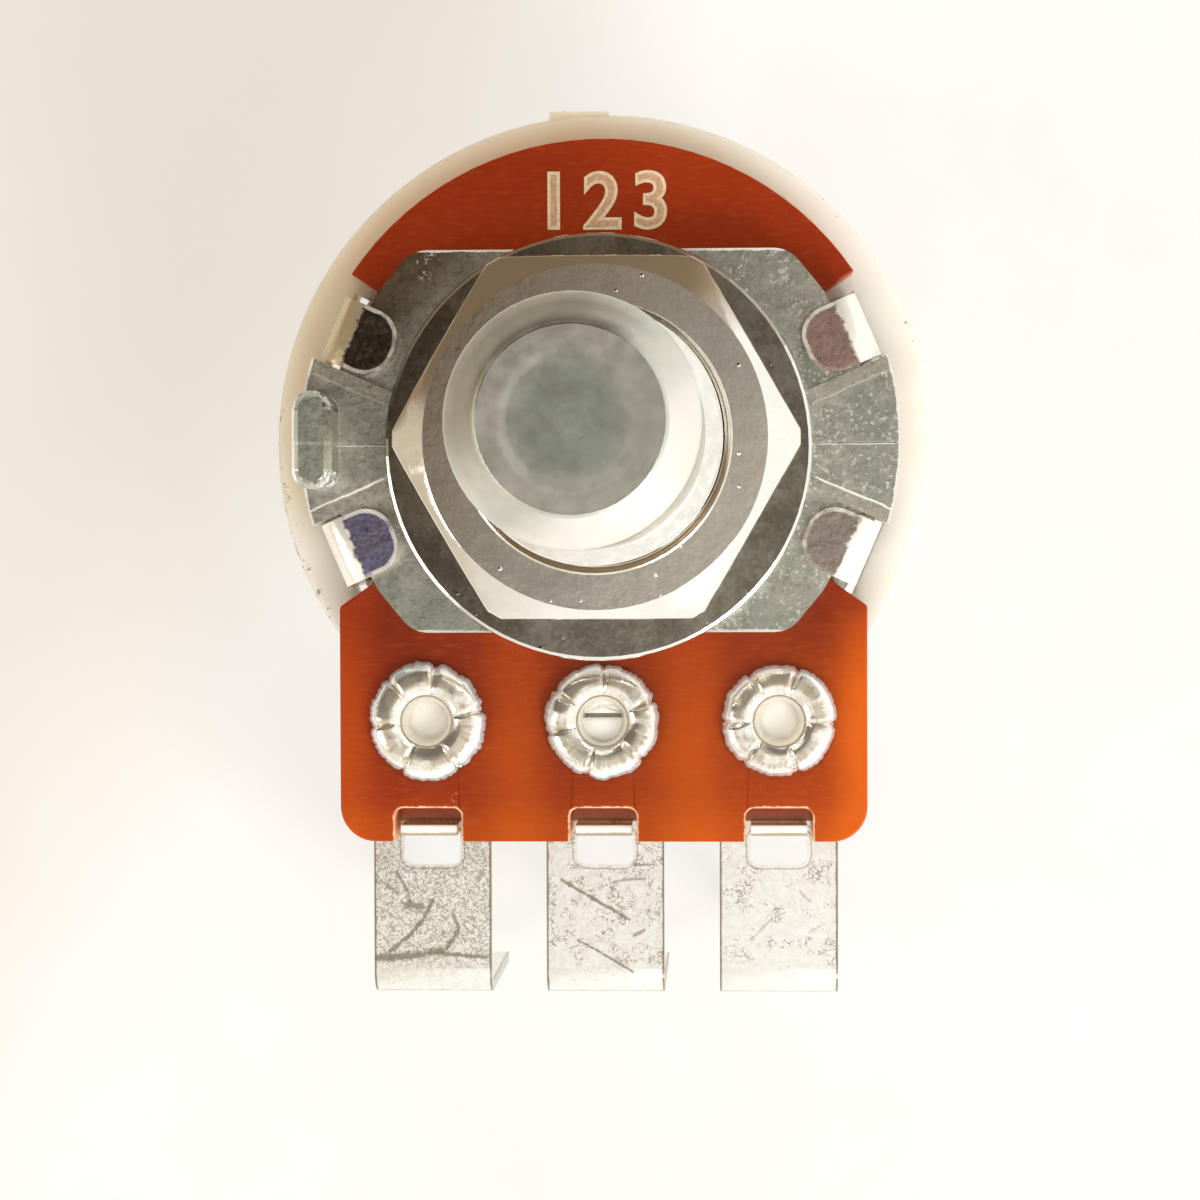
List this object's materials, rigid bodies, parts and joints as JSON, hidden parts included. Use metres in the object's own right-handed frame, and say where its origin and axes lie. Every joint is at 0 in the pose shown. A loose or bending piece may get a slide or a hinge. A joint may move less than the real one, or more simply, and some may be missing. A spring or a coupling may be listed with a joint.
{
  "type": "pcb mount potentiometer",
  "caption": "Rotary potentiometer with a plain round shaft, threaded bush, nut and washer, and flat terminals bent back to stand upright on a circuit board.",
  "frame": {"origin": "centre of the rear cover's flat back, on the shaft axis", "axes": "+Z along the shaft to its tip; the terminals leave the body towards -Y and their pins point along -Z; +X to the right seen from the shaft's end with the terminals down"},
  "size_m": [0.0188, 0.0255, 0.029],
  "materials": {
    "die_cast_zinc": "as cast, dull grey",
    "washer_steel": "zinc plated, bright edge",
    "nut_steel": "bright plated",
    "shaft_metal": "turned, satin",
    "ring_steel": "spring steel",
    "rotor_plastic": "moulded",
    "contact_bronze": "spring strip, satin",
    "phenolic_board": "paper phenolic, satin",
    "carbon_film": "printed carbon",
    "silver_film": "printed silver ink",
    "tinned_brass": "tin plated, scratched",
    "tinned_eyelet": "tin plated, bright",
    "housing_plastic": "milky, slightly translucent",
    "cover_steel": "tin plated sheet"
  },
  "bodies": {
    "body": {"front_plate": "die_cast_zinc", "washer": "washer_steel", "hex_nut": "nut_steel", "resistor_board": "phenolic_board", "carbon_track": "carbon_film", "collector_ring": "silver_film", "track_lead_left": "silver_film", "track_lead_right": "silver_film", "terminal_left": "tinned_brass", "terminal_middle": "tinned_brass", "terminal_right": "tinned_brass", "eyelet_left": "tinned_eyelet", "eyelet_middle": "tinned_eyelet", "eyelet_right": "tinned_eyelet", "housing": "housing_plastic", "rear_cover": "cover_steel"},
    "spindle": {"shaft": "shaft_metal", "retaining_ring": "ring_steel", "rotor": "rotor_plastic", "wiper_contact": "contact_bronze"}
  },
  "joints": [
    {"name": "shaft_turn", "type": "hinge", "parent": "body", "child": "spindle", "pos_m": [0, 0, 0], "axis": [0, 0, 1], "range_deg": [-150, 150]}
  ]
}
